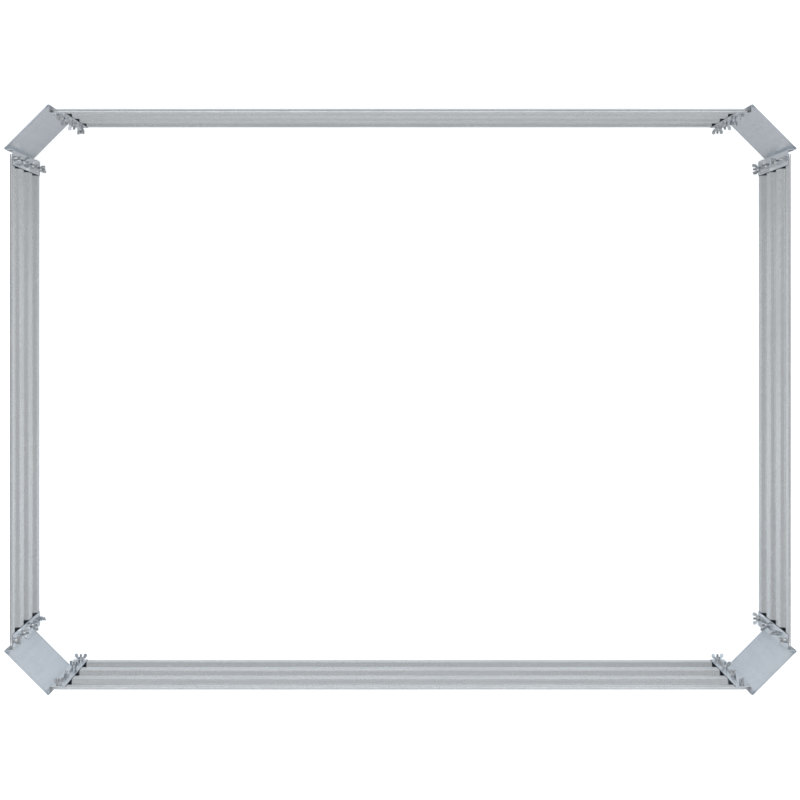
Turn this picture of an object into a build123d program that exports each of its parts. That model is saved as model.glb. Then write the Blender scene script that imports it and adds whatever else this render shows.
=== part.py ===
from build123d import *
import os
from math import sqrt

# A bolt-together raised-bed frame in thin galvanised sheet: four ribbed walls joined by four
# 45-degree corner pieces, every joint held by a column of M4 screws, washers and wing nuts.
# Millimetres. +X runs along the long walls, +Y goes to the back wall and +Z is up. The origin is
# on the ground at the middle of the frame.

# Overall size
overall_length = 1200.0  # over the corner pieces, along X
overall_width = 895.0  # over the corner pieces, along Y
height = 300.0
sheet = 0.8  # thickness of every sheet piece
bend = 1.0  # inside radius of every sharp bend

# Ribbed wall, as seen from its end
rib_count = 3
flat_width = 38.0  # of each flat between two ribs
end_flat = 25.0  # width of the flats at the ground and at the rim
rib_depth = 8.0  # how far a rib stands out from the flat
rib_run = 5.0  # height taken by each sloping side of a rib
rib_round = 4.0  # radius of the rib's bends
foot_lip = 6.0  # turned outward on the ground
rim_lip = 4.0  # turned outward at the top
rim_return = 5.0  # turned down again from the rim lip

# Corner piece, in plan
corner_leg = 69.0  # from tip to tip, along each axis
step_out = 13.0  # from the inner face of a wall out to the tip
flange = 23.0  # width of the flange that lies on the inside of a wall
wall_gap = 6.0  # from the end of a wall to the step of the corner piece
hem = 9.0  # folded back on the rim of the slanted plate
hem_inset = 8.0  # from the corners of the plate to the ends of the hem

# Fasteners: M4 pan head screws, plain washers and wing nuts
screw_from_edge = 10.0  # from the free edge of the flange
hole_clearance = 0.4  # radial, around each screw in the sheets
screw_radius = 2.0
screw_length = 12.0  # under the head
screw_chamfer = 0.5
head_radius = 4.0
head_height = 3.0
head_round = 1.6
recess_span = 4.4
recess_width = 0.9
recess_depth = 1.5
washer_radius = 4.5
washer_clearance = 0.25  # radial, around the screw
washer_thickness = 0.8
nut_clearance = 0.05  # radial running fit of the wing nut on its screw
hub_radius = 4.0
hub_top_radius = 3.6
hub_height = 4.6
hub_chamfer = 0.35
wing_span = 20.0
wing_height = 10.5
wing_thickness = 1.9
wing_draft = 4.0  # degrees
wing_round = 2.2
wing_turn = 137.5  # degrees by which each nut is turned on from the one before it

# What follows from the sizes
outer_bend = bend + sheet
tip_reach = outer_bend * sqrt(2)  # from a rounded tip to the corner that its faces would meet in
inner_x = overall_length / 2 - step_out  # inner face of the left and right walls
inner_y = overall_width / 2 - step_out  # inner face of the front and back walls
step_x = overall_length / 2 - corner_leg  # step of the corner piece on a long wall
step_y = overall_width / 2 - corner_leg  # step of the corner piece on a short wall
rib_pitch = (height - 2 * end_flat + flat_width) / rib_count
rib_lows = [end_flat + rib_pitch * rib for rib in range(rib_count)]
mid_rows = [low - flat_width / 2 for low in rib_lows[1:]]
rows = [end_flat / 2, *mid_rows, height - end_flat / 2]  # of screws, one along each flat

foot = (Align.CENTER, Align.CENTER, Align.MIN)  # a shape that stands on z = 0

# name of each wall, the turn that carries the front wall to it, its inner face and half its bay
walls = [
    ("front", 0, inner_y, step_x),
    ("right", 90, inner_x, step_y),
    ("back", 180, inner_y, step_x),
    ("left", 270, inner_x, step_y),
]
# name of each wall's end that lies towards -X and towards +X before the wall is turned
end_names = {
    "front": ("left", "right"),
    "right": ("front", "back"),
    "back": ("right", "left"),
    "left": ("back", "front"),
}


def placed(shape, turn, inner):
    """Carry a shape drawn on the plane y = 0, outward to -Y, onto one of the walls."""
    return Rot(0, 0, turn) * Pos(0, -inner, 0) * shape


def sheet_section(points, radii, side):
    """A bent sheet's cross-section: a line with rounded corners, given the sheet's thickness."""
    with BuildSketch() as section:
        with BuildLine():
            path = FilletPolyline(*points, radius=radii)
            offset(path, amount=sheet, side=side)
        make_face()
    return section.sketch


def wall(half_bay):
    """A ribbed wall along X with its inner face on y = 0, ribs standing out to -Y."""
    points = [(foot_lip, 0), (0, 0)]
    radii = [outer_bend]
    for low in rib_lows:
        high = low + rib_pitch - flat_width
        points += [(0, low), (rib_depth, low + rib_run), (rib_depth, high - rib_run), (0, high)]
        radii += [rib_round] * 4
    points += [(0, height), (rim_lip, height), (rim_lip, height - rim_return)]
    radii += [outer_bend, outer_bend]
    section = sheet_section(points, radii, Side.RIGHT)
    end_plane = Plane(origin=(0, 0, 0), x_dir=(0, -1, 0), z_dir=(-1, 0, 0))
    body = extrude(end_plane * section, amount=half_bay - wall_gap, both=True)
    return body - screw_holes([-half_bay, half_bay])


def screw_holes(bays):
    """Holes through a wall or flange on y = 0, for the columns of screws by the given steps."""
    hole = Rot(90, 0, 0) * Cylinder(screw_radius + hole_clearance, 4 * sheet)
    return [Pos(x, 0, z) * hole for x in map(screw_x, bays) for z in rows]


def screw_x(bay):
    """Where the screws stand along a wall that has a corner piece's step at the given bay."""
    inward = flange - screw_from_edge
    return bay - inward if bay > 0 else bay + inward


def corner():
    """The front left corner piece: two flanges, two steps and the slanted plate between them."""
    tip_x, tip_y = overall_length / 2 + tip_reach, overall_width / 2 + tip_reach
    points = [
        (-step_x + flange, -inner_y),
        (-step_x, -inner_y),
        (-step_x, -tip_y),
        (-tip_x, -step_y),
        (-inner_x, -step_y),
        (-inner_x, -step_y + flange),
    ]
    section = sheet_section(points, [bend, outer_bend, outer_bend, bend], Side.RIGHT)
    body = extrude(section, amount=height)
    along_front = Pos(0, -inner_y, 0)
    along_left = Rot(0, 0, 270) * Pos(0, -inner_x, 0)
    body -= [along_front * hole for hole in screw_holes([-step_x])]
    body -= [along_left * hole for hole in screw_holes([step_y])]
    return body + plate_hem()


def plate_hem():
    """The top edge of the slanted plate folded flat against its inner side."""
    middle_x = -(overall_length / 2 + step_x + tip_reach) / 2
    middle_y = -(overall_width / 2 + step_y + tip_reach) / 2
    width = (corner_leg + tip_reach) * sqrt(2) - 2 * hem_inset
    face = Plane(origin=(middle_x, middle_y, height), x_dir=(-1, 1, 0), z_dir=(1, 1, 0))
    fold = Box(width, hem, sheet, align=(Align.CENTER, Align.MAX, Align.MIN))
    return face * Pos(0, 0, sheet) * fold


def screw():
    """An M4 pan head screw along +Z, its head under z = 0, its point at the far end."""
    head = Pos(0, 0, -head_height) * Cylinder(head_radius, head_height, align=foot)
    head = fillet(head.edges().sort_by(Axis.Z)[:1], head_round)
    for turn in (0, 90):
        slot = Box(recess_span, recess_width, recess_depth, align=foot)
        head -= Rot(0, 0, turn) * Pos(0, 0, -head_height) * slot
    shank = Cylinder(screw_radius, screw_length, align=foot)
    shank = chamfer(shank.edges().sort_by(Axis.Z)[-1:], screw_chamfer)
    return head + shank


def washer():
    """A plain washer standing on z = 0."""
    ring = Cylinder(washer_radius, washer_thickness, align=foot)
    return ring - Cylinder(screw_radius + washer_clearance, washer_thickness, align=foot)


def wing_nut():
    """A wing nut standing on z = 0 with its wings along X."""
    tip = wing_span / 2
    outline = [
        (hub_top_radius / 2, hub_chamfer),
        (hub_radius + 0.8, 1.0),
        (tip, hub_height + 0.4),
        (tip, wing_height),
        (tip - 4.6, wing_height),
        (hub_top_radius / 2, hub_height - 0.4),
    ]
    with BuildSketch(Plane.XZ) as ear:
        Polygon(*outline, align=None)
        corners = ear.vertices().filter_by(lambda v: v.X > hub_radius)
        fillet(corners, wing_round)
    half = extrude(ear.sketch, amount=wing_thickness / 2, taper=wing_draft)
    wing = half + mirror(half, Plane.XZ)
    body = Cone(hub_radius, hub_top_radius, hub_height, align=foot)
    body = chamfer(body.edges().filter_by(GeomType.CIRCLE), hub_chamfer)
    body += [wing, Rot(0, 0, 180) * wing]
    return body - Cylinder(screw_radius + nut_clearance, 2 * wing_height)


def on_wall(shape, x, depth, z):
    """Stand a fastener, drawn along +Z, on a wall: its axis to +Y, its foot at the given depth."""
    return Pos(x, depth, z) * Rot(-90, 0, 0) * shape


def write(name, *solids):
    """Write one sub-part, as a single solid or as a group of separate ones."""
    shape = solids[0] if len(solids) == 1 else Compound(children=list(solids))
    export_step(shape, os.path.join("parts", name + ".step"))


os.makedirs("parts", exist_ok=True)
the_screw, the_washer, the_nut = screw(), washer(), wing_nut()
nut_count = 0
for name, turn, inner, half_bay in walls:
    write("wall_" + name, placed(wall(half_bay), turn, inner).solid())
    for bay, end in zip((-half_bay, half_bay), end_names[name]):
        x = screw_x(bay)
        group = [placed(on_wall(the_screw, x, -sheet, z), turn, inner).solid() for z in rows]
        write(f"screws_{name}_{end}", *group)
        group = [placed(on_wall(the_washer, x, sheet, z), turn, inner).solid() for z in rows]
        write(f"washers_{name}_{end}", *group)
        for row, z in enumerate(rows, start=1):
            turned = Rot(0, 0, nut_count * wing_turn) * the_nut
            nut = on_wall(turned, x, sheet + washer_thickness, z)
            write(f"wingnut_{name}_{end}_{row}", placed(nut, turn, inner).solid())
            nut_count += 1

front_left = corner()
write("corner_front_left", front_left.solid())
write("corner_front_right", mirror(front_left, Plane.YZ).solid())
write("corner_back_left", mirror(front_left, Plane.XZ).solid())
write("corner_back_right", mirror(mirror(front_left, Plane.YZ), Plane.XZ).solid())
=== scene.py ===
"""Visual model of a bolt-together raised-bed frame in ribbed galvanised sheet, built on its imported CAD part."""

import logging
import math
from dataclasses import dataclass, field
from enum import Enum
from typing import Any, Iterable, Sequence

import bmesh
import bpy
from bpy.types import Material, Mesh, Node, NodeSocket, NodeTree, Object
from mathutils import Matrix, Vector


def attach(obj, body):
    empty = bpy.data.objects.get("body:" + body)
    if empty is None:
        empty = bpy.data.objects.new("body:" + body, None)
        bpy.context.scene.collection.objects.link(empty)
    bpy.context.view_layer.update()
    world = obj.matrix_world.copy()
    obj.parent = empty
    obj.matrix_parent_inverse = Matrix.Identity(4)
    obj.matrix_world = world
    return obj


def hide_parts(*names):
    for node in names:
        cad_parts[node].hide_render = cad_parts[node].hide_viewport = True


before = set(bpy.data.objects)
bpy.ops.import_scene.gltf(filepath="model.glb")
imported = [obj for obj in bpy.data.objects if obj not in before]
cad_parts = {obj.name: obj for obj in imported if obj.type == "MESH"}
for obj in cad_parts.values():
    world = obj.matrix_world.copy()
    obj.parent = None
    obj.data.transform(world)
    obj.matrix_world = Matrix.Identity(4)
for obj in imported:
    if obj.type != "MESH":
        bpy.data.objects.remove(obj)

MM = 0.001
MERGED = 1e-7  # points nearer than this, in metres, are one point
SHEET_SIDE = 1.0  # Solidify's offset, which puts the thickness to the right of a folded line
LOG = logging.getLogger("raised_bed")
Pair = tuple[float, float]
Colour = tuple[float, float, float, float]
Place = tuple[Vector, Vector, float]
FLOAT, VECTOR, WHOLE = "NodeSocketFloat", "NodeSocketVector", "NodeSocketInt"
SHAPE, OBJECT, MATERIAL = "NodeSocketGeometry", "NodeSocketObject", "NodeSocketMaterial"
SHADER, GEOMETRY = "ShaderNodeTree", "GeometryNodeTree"


class Wall(Enum):
    """The four ribbed walls: the quarter turns that carry the front wall to each, and the names of its two ends."""

    FRONT = (0, "left", "right")
    RIGHT = (1, "front", "back")
    BACK = (2, "right", "left")
    LEFT = (3, "back", "front")

    @property
    def label(self) -> str:
        """The wall's name in the CAD nodes."""
        return self.name.lower()

    @property
    def turn(self) -> Matrix:
        """The turn about Z that carries the front wall to this one."""
        return Matrix.Rotation(math.radians(90 * self.value[0]), 4, "Z")

    @property
    def ends(self) -> tuple[str, str]:
        """The names of the end towards -X and the end towards +X, before the turn."""
        return self.value[1], self.value[2]

    @property
    def axes(self) -> tuple[str, str]:
        """The axis that the wall runs along, and the one that crosses it."""
        return ("Y", "X") if self.value[0] % 2 else ("X", "Y")


class Roll(Enum):
    """The direction that a sheet was rolled in, as how strongly its streaks are squeezed along each axis."""

    ALONG_X = (0.012, 1.0, 1.0)
    ALONG_Y = (1.0, 0.012, 1.0)
    ALONG_Z = (1.0, 1.0, 0.03)


# ---------------- node trees


@dataclass
class Wiring:
    """A node tree with short ways to add nodes and wire them up.

    Args:
        tree: the shader or geometry node tree to fill.
    """

    tree: NodeTree

    def feed(self, socket: NodeSocket, value: Any) -> None:
        """Link a socket or a node's first output to an input, or set its plain value."""
        if isinstance(value, NodeSocket):
            self.tree.links.new(value, socket)
        elif isinstance(value, Node):
            self.tree.links.new(value.outputs[0], socket)
        else:
            socket.default_value = value

    def node(self, kind: str, feeds: dict[Any, Any] | None = None, **settings: Any) -> Node:
        """Add a node.

        Args:
            kind: Blender's name for the node.
            feeds: what each input gets, by its name or number.
            settings: properties of the node itself.

        Returns:
            The new node.
        """
        made = self.tree.nodes.new(kind)
        for key, value in settings.items():
            setattr(made, key, value)
        for key, value in (feeds or {}).items():
            self.feed(made.inputs[key], value)
        return made

    def math(self, operation: str, a: Any, b: Any = 0.0, c: Any = 0.0, clamp: bool = False) -> NodeSocket:
        """Add a Math node and return its result."""
        made = self.node("ShaderNodeMath", {0: a, 1: b, 2: c}, operation=operation, use_clamp=clamp)
        return made.outputs[0]

    def vector(self, operation: str, a: Any, b: Any = (0.0, 0.0, 0.0)) -> NodeSocket:
        """Add a Vector Math node and return its vector."""
        return self.node("ShaderNodeVectorMath", {0: a, 1: b}, operation=operation).outputs[0]

    def scaled(self, vector: Any, scale: Any) -> NodeSocket:
        """Multiply a vector by a number."""
        made = self.node("ShaderNodeVectorMath", {0: vector, "Scale": scale}, operation="SCALE")
        return made.outputs[0]

    def sized(self, vector: Any, size: Any) -> NodeSocket:
        """Divide a vector by a size, which sets how large a pattern on it is."""
        return self.scaled(vector, self.math("DIVIDE", 1.0, size))

    def part(self, vector: Any, name: str) -> NodeSocket:
        """One part of a vector."""
        return self.node("ShaderNodeSeparateXYZ", {0: vector}).outputs[name]

    def noise(self, vector: Any, scale: float = 1.0, detail: float = 2.0, roughness: float = 0.5) -> NodeSocket:
        """Add a Noise Texture and return its shade."""
        feeds = {"Vector": vector, "Scale": scale, "Detail": detail, "Roughness": roughness}
        return self.node("ShaderNodeTexNoise", feeds).outputs["Fac"]

    def stored(self, name: str, kind: str = "FLOAT") -> NodeSocket:
        """Read a number or vector that the points of the shape carry."""
        return self.node("GeometryNodeInputNamedAttribute", {"Name": name}, data_type=kind).outputs[0]

    def remap(self, value: Any, low: Any, high: Any, to_low: float = 0.0, to_high: float = 1.0) -> NodeSocket:
        """Map a range of values to another smoothly, and return the result."""
        feeds = {"Value": value, "From Min": low, "From Max": high, "To Min": to_low, "To Max": to_high}
        return self.node("ShaderNodeMapRange", feeds, interpolation_type="SMOOTHSTEP").outputs[0]

    def mix(self, factor: Any, a: Any, b: Any) -> NodeSocket:
        """Mix two colours and return the result."""
        made = self.node("ShaderNodeMix", data_type="RGBA")
        self.feed(made.inputs[0], factor)
        self.feed(made.inputs[6], a)
        self.feed(made.inputs[7], b)
        return made.outputs[2]

    def close(self, out: Any, geometry: Any, material: NodeSocket) -> NodeTree:
        """End a geometry tree.

        Args:
            out: the sockets that it fills.
            geometry: what it has made.
            material: the finish that it gets.

        Returns:
            The tree.
        """
        whole = self.node("GeometryNodeRealizeInstances", {"Geometry": geometry})
        dressed = self.node("GeometryNodeSetMaterial", {"Geometry": whole, "Material": material})
        self.feed(out[0], dressed)
        return self.tree


def new_group(name: str, kind: str, outputs: Sequence[str], **inputs: Any) -> tuple[Wiring, Any, Any]:
    """Start a node group, whose inputs are written as words joined by underscores.

    Args:
        name: the group's name.
        kind: SHADER or GEOMETRY.
        outputs: the outputs' names: numbers from a shader group, and shapes from a geometry tree.
        inputs: each input's starting number, or else its socket type.

    Returns:
        The group's wiring, the sockets that it reads, and the ones that it fills.
    """
    tree = bpy.data.node_groups.new(name, kind)
    for label, value in inputs.items():
        socket = value if isinstance(value, str) else WHOLE if isinstance(value, int) else FLOAT
        made = tree.interface.new_socket(label.replace("_", " "), in_out="INPUT", socket_type=socket)
        if not isinstance(value, str):
            made.default_value = value
    for label in outputs:
        tree.interface.new_socket(label, in_out="OUTPUT", socket_type=FLOAT if kind == SHADER else SHAPE)
    wiring = Wiring(tree)
    return wiring, wiring.node("NodeGroupInput").outputs, wiring.node("NodeGroupOutput").inputs


# ---------------- shared shader effects


def spangle_group() -> NodeTree:
    """Zinc crystals: irregular patches, each with its own shade, crossed by feathery growth lines.

    Returns:
        A shader group that gives a shade from 0 to 1 and a height.
    """
    w, at, out = new_group("zinc_spangle", SHADER, ["Shade", "Height"], Vector=VECTOR, Crystal_Size=0.01, Ragged=0.35)
    place = w.sized(at["Vector"], at["Crystal Size"])
    rag = w.node("ShaderNodeTexNoise", {"Vector": place, "Scale": 1.7, "Detail": 3.0, "Roughness": 0.6})
    shift = w.scaled(w.vector("SUBTRACT", rag.outputs["Color"], (0.5, 0.5, 0.5)), at["Ragged"])
    place = w.vector("ADD", place, shift)
    large = w.node("ShaderNodeTexVoronoi", {"Vector": place, "Scale": 1.0})
    small = w.node("ShaderNodeTexVoronoi", {"Vector": place, "Scale": 2.3})
    feather = w.noise(w.vector("ADD", place, w.scaled(large.outputs["Color"], 40.0)), 4.5)
    shade = w.math("MULTIPLY", w.part(large.outputs["Color"], "X"), 0.55)
    shade = w.math("MULTIPLY_ADD", w.part(small.outputs["Color"], "Y"), 0.25, shade)
    shade = w.math("MULTIPLY_ADD", feather, 0.20, shade)
    w.feed(out["Shade"], shade)
    w.feed(out["Height"], w.math("MULTIPLY_ADD", large.outputs["Distance"], -0.35, shade))
    return w.tree


def handling_group() -> NodeTree:
    """What handling leaves on metal: fine scratches in several directions, and dull smudges.

    Returns:
        A shader group that gives a scratch mask and a smudge mask.
    """
    w, at, out = new_group(
        "handling_marks", SHADER, ["Scratches", "Smudges"], Vector=VECTOR, Scratch_Length=0.12, Scratch_Width=0.0004,
        Smudge_Size=0.12,
    )
    place = at["Vector"]
    along = w.math("DIVIDE", 1.0, at["Scratch Length"])
    across = w.math("DIVIDE", 0.35, at["Scratch Width"])
    stretch = w.node("ShaderNodeCombineXYZ", {"X": along, "Y": across, "Z": across})
    marks: Any = 0.0
    for turn, seed in ((0.35, 3.1), (-0.9, 11.7), (1.35, 23.9)):
        mapped = w.node("ShaderNodeMapping", {"Vector": place, "Rotation": (turn, turn * 0.7, turn)})
        long_way = w.vector("ADD", w.vector("MULTIPLY", mapped, stretch), (seed, seed, seed))
        marks = w.math("MAXIMUM", marks, w.remap(w.noise(long_way, detail=0.0), 0.76, 0.81))
    smudge = w.noise(w.sized(place, at["Smudge Size"]), detail=4.0, roughness=0.55)
    w.feed(out["Scratches"], marks)
    w.feed(out["Smudges"], w.remap(smudge, 0.42, 0.68))
    return w.tree


def edge_group() -> NodeTree:
    """Edges that handling has rubbed bright, in patches.

    Returns:
        A shader group that takes a plain edge mask and gives the rubbed one.
    """
    w, at, out = new_group("rubbed_edges", SHADER, ["Mask"], Vector=VECTOR, Edge=0.0, Amount=0.6, Patch_Size=0.02)
    patches = w.noise(w.sized(at["Vector"], at["Patch Size"]), detail=3.0)
    edge = w.math("MULTIPLY", at["Edge"], w.remap(patches, 0.3, 0.65, 0.25, 1.0))
    w.feed(out["Mask"], w.math("MULTIPLY", edge, at["Amount"], clamp=True))
    return w.tree


def rolled_group() -> NodeTree:
    """What rolling and folding leave on sheet: fine streaks one way, slow waves, and an even mask along both rims.

    Returns:
        A shader group that gives the streaks, the waves and the rims, from 0 to 1.
    """
    w, at, out = new_group(
        "rolled_sheet", SHADER, ["Streaks", "Waves", "Rims"], Vector=VECTOR, Squeeze=VECTOR, Streak_Size=0.0077,
        Wave_Size=0.38, Middle_Height=0.15, Half_Height=0.15, Rim_Width=0.0035,
    )
    fine = w.sized(w.vector("MULTIPLY", at["Vector"], at["Squeeze"]), at["Streak Size"])
    from_middle = w.math("ABSOLUTE", w.math("SUBTRACT", w.part(at["Vector"], "Z"), at["Middle Height"]))
    low = w.math("SUBTRACT", at["Half Height"], at["Rim Width"])
    w.feed(out["Streaks"], w.noise(fine))
    w.feed(out["Waves"], w.noise(w.sized(at["Vector"], at["Wave Size"]), detail=0.0))
    w.feed(out["Rims"], w.remap(from_middle, low, at["Half Height"]))
    return w.tree


def stain_group() -> NodeTree:
    """Painted shade: a dark mask inside a box that is mirrored about the frame's middle, on the faces that look one
    way.

    Returns:
        A shader group that gives the mask of the painted shade.
    """
    w, at, out = new_group(
        "storage_stain", SHADER, ["Mask"], Vector=VECTOR, Normal=VECTOR, Along=VECTOR, Across=VECTOR, Looks=VECTOR,
        Back=1.0, Start=0.5, End=0.6, Depth=0.4, Low=0.0, High=0.3, Height_Fade=0.001, Strength=1.0, Edge_Fade=0.0006,
        Patch_Size=0.00625,
    )

    def measured(vector: Any, way: Any) -> NodeSocket:
        """How far a vector reaches along a way."""
        return w.node("ShaderNodeVectorMath", {0: vector, 1: way}, operation="DOT_PRODUCT").outputs["Value"]

    along = w.math("ABSOLUTE", measured(at["Vector"], at["Along"]))
    across = w.math("ABSOLUTE", measured(at["Vector"], at["Across"]))
    height = w.part(at["Vector"], "Z")
    side = w.math("SIGN", measured(at["Vector"], at["Looks"]))
    ahead = w.math("MULTIPLY", w.math("MULTIPLY", side, measured(at["Normal"], at["Looks"])), at["Back"])
    bounds = [
        w.remap(along, at["Start"], w.math("ADD", at["Start"], at["Edge Fade"])),
        w.remap(along, w.math("ADD", at["End"], at["Edge Fade"]), at["End"]),
        w.remap(across, at["Depth"], w.math("ADD", at["Depth"], at["Edge Fade"])),
        w.remap(height, w.math("SUBTRACT", at["Low"], at["Height Fade"]), at["Low"]),
        w.remap(height, w.math("ADD", at["High"], at["Height Fade"]), at["High"]),
        w.remap(ahead, -0.15, -0.4),
        w.remap(w.noise(w.sized(at["Vector"], at["Patch Size"])), 0.25, 0.55, 0.7, 1.0),
    ]
    mask: Any = at["Strength"]
    for bound in bounds:
        mask = w.math("MULTIPLY", mask, bound)
    w.feed(out["Mask"], mask)
    return w.tree


def plating_group() -> NodeTree:
    """The grain of plated or cast metal, with larger clouds across it, its edges, and its creases for painted shade.

    Returns:
        A shader group that gives a shade, a height, a mask of the edges and a mask of the creases, where shade is
        painted.
    """
    w, at, out = new_group(
        "plating_grain", SHADER, ["Shade", "Height", "Edges", "Creases"], Vector=VECTOR, Pointiness=0.5,
        Grain_Size=0.0006, Cloud_Size=0.0045,
    )
    grain = w.noise(w.sized(at["Vector"], at["Grain Size"]), detail=3.0, roughness=0.6)
    cloud = w.noise(w.sized(at["Vector"], at["Cloud Size"]))
    w.feed(out["Shade"], w.math("MULTIPLY_ADD", grain, 0.35, w.math("MULTIPLY", cloud, 0.75)))
    w.feed(out["Height"], grain)
    w.feed(out["Edges"], w.remap(at["Pointiness"], 0.51, 0.58))
    # Creases and hollows, where the finishes paint shade.
    w.feed(out["Creases"], w.remap(at["Pointiness"], 0.495, 0.44))
    return w.tree


@dataclass(frozen=True)
class Effects:
    """The shader groups that every finish shares."""

    spangle: NodeTree = field(default_factory=spangle_group)
    handling: NodeTree = field(default_factory=handling_group)
    edges: NodeTree = field(default_factory=edge_group)
    rolled: NodeTree = field(default_factory=rolled_group)
    # painted shade for laps, rims and steps
    stain: NodeTree = field(default_factory=stain_group)
    plating: NodeTree = field(default_factory=plating_group)


# ---------------- finishes


@dataclass(frozen=True)
class Finish:
    """What all the metal finishes have in common.

    Args:
        name: the material's name.
        dark: colour of the darkest crystals or patches.
        light: colour of the lightest ones.
        rough_low: roughness of the cleanest parts.
        rough_high: roughness of the dullest parts.
        wear: how far the edges are rubbed bright.
    """

    name: str
    dark: Colour
    light: Colour
    rough_low: float = 0.3
    rough_high: float = 0.45
    wear: float = 0.5

    def start(self) -> tuple[Wiring, Node, NodeSocket]:
        """Start the material.

        Returns:
            Its wiring, its Principled shader and the Object coordinates.
        """
        material = bpy.data.materials.new(self.name)
        material.use_nodes = True
        material.node_tree.nodes.clear()
        w = Wiring(material.node_tree)
        shader = w.node("ShaderNodeBsdfPrincipled", {"Metallic": 1.0})
        w.node("ShaderNodeOutputMaterial", {"Surface": shader.outputs[0]})
        return w, shader, w.node("ShaderNodeTexCoord").outputs["Object"]

    def brighter(self, times: float) -> Colour:
        """The light colour made some times brighter, as far as white."""
        red, green, blue = (min(1.0, part * times) for part in self.light[:3])
        return red, green, blue, 1.0

    def group(self, w: Wiring, tree: NodeTree, **feeds: Any) -> Node:
        """Place a shared effect in the material, with its inputs written as words joined by underscores."""
        made = w.node("ShaderNodeGroup", node_tree=tree)
        for key, value in feeds.items():
            w.feed(made.inputs[key.replace("_", " ")], value)
        return made


AXES = {"X": (1.0, 0.0, 0.0), "Y": (0.0, 1.0, 0.0)}


@dataclass(frozen=True)
class Lap:
    """Where shade is painted on a sheet, such as in the laps at the ends of a wall, in metres from the middle of the
    frame.

    Args:
        along: the axis that runs along the wall.
        across: the axis that crosses it.
        looks: the axis that the stained faces look along.
        start: where the painted shade begins along the wall.
        end: where it ends.
        depth: where it begins across the wall.
        low: its lowest height.
        high: its highest height.
        fade: how far it takes to fade out above and below.
        strength: how dark it is, up to 1.
        back: 1 for faces that look back to the middle, -1 for those that look away from it.
    """

    along: str
    across: str
    looks: str
    start: float
    end: float
    depth: float
    low: float
    high: float
    fade: float = 0.0008
    strength: float = 1.0
    back: float = 1.0


@dataclass(frozen=True)
class GalvanisedSheet(Finish):
    """Hot-dipped zinc on thin rolled sheet.

    Args:
        roll: the direction that the sheet was rolled in.
        crystal: size of the zinc crystals, in metres.
        contrast: how much the crystals differ in shade.
        buckle: height of the sheet's slow waviness in the bump, in metres.
        relief: height of its crystals and streaks in the bump, in metres.
        laps: where dark shade is painted.
        stain: colour of that painted shade.
        rubbed: colour that handling has left along the rims.
    """

    roll: Roll = Roll.ALONG_X
    crystal: float = 0.007
    contrast: float = 0.34
    buckle: float = 0.0004
    relief: float = 0.00002
    laps: tuple[Lap, ...] = ()
    stain: Colour = (0.07, 0.08, 0.10, 1.0)
    rubbed: Colour = (0.60, 0.62, 0.64, 1.0)

    def stained(self, w: Wiring, effects: Effects, place: NodeSocket) -> Any:
        """Place the painted shade once for each lap.

        Args:
            w: the material's wiring.
            effects: the shared shader groups.
            place: the Object coordinates.

        Returns:
            The mask of all the painted shade.
        """
        normal = w.node("ShaderNodeTexCoord").outputs["Normal"]
        mask: Any = 0.0
        for lap in self.laps:
            stain = self.group(
                w, effects.stain, Vector=place, Normal=normal, Along=AXES[lap.along], Across=AXES[lap.across],
                Looks=AXES[lap.looks], Back=lap.back, Start=lap.start, End=lap.end, Depth=lap.depth,
                Low=lap.low, High=lap.high, Height_Fade=lap.fade, Strength=lap.strength,
            )
            mask = w.math("MAXIMUM", mask, stain.outputs["Mask"])
        return mask

    def build(self, effects: Effects) -> Material:
        """Make the material.

        Args:
            effects: the shared shader groups.

        Returns:
            The finished material.
        """
        w, shader, place = self.start()
        crystals = self.group(w, effects.spangle, Vector=place, Crystal_Size=self.crystal, Ragged=0.45)
        marks = self.group(
            w, effects.handling, Vector=place, Scratch_Length=0.14, Scratch_Width=0.0005, Smudge_Size=0.16
        )
        rolled = self.group(
            w, effects.rolled, Vector=place, Squeeze=self.roll.value, Streak_Size=1 / 130, Wave_Size=1 / 2.6
        )
        edges = self.group(
            w, effects.edges, Vector=place, Edge=rolled.outputs["Rims"], Amount=self.wear, Patch_Size=0.03
        )
        shade = w.math("MULTIPLY_ADD", w.math("SUBTRACT", crystals.outputs["Shade"], 0.5), self.contrast, 0.5)
        shade = w.math("MULTIPLY_ADD", w.math("SUBTRACT", rolled.outputs["Streaks"], 0.5), 0.9, shade)
        shade = w.math("MULTIPLY_ADD", marks.outputs["Smudges"], -0.10, shade, clamp=True)
        colour = w.mix(shade, self.dark, self.light)
        colour = w.mix(w.math("MULTIPLY", marks.outputs["Scratches"], 0.35), colour, self.brighter(1.12))
        colour = w.mix(edges.outputs["Mask"], colour, self.rubbed)
        # Painted shade: dark colour behind the flanges, along the outside of the rims and in the steps, where shade
        # falls, and rougher there.
        stain = self.stained(w, effects, place)
        w.feed(shader.inputs["Base Color"], w.mix(stain, colour, self.stain))
        rough = w.remap(w.math("SUBTRACT", 1.0, shade), 0.0, 1.0, self.rough_low, self.rough_high)
        rough = w.math("MULTIPLY_ADD", stain, 0.3, rough)
        rough = w.math("MULTIPLY_ADD", marks.outputs["Smudges"], 0.07, rough, clamp=True)
        w.feed(shader.inputs["Roughness"], rough)
        fine = w.math("MULTIPLY", crystals.outputs["Height"], 0.4)
        fine = w.math("MULTIPLY_ADD", rolled.outputs["Streaks"], 0.2, fine)
        fine = w.math("MULTIPLY_ADD", marks.outputs["Scratches"], -0.5, fine)
        slow = {"Height": rolled.outputs["Waves"], "Strength": 1.0, "Distance": self.buckle}
        waves = w.node("ShaderNodeBump", slow)
        quick = {"Height": fine, "Strength": 0.5, "Distance": self.relief, "Normal": waves}
        w.feed(shader.inputs["Normal"], w.node("ShaderNodeBump", quick))
        return bpy.data.materials[self.name]


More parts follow.
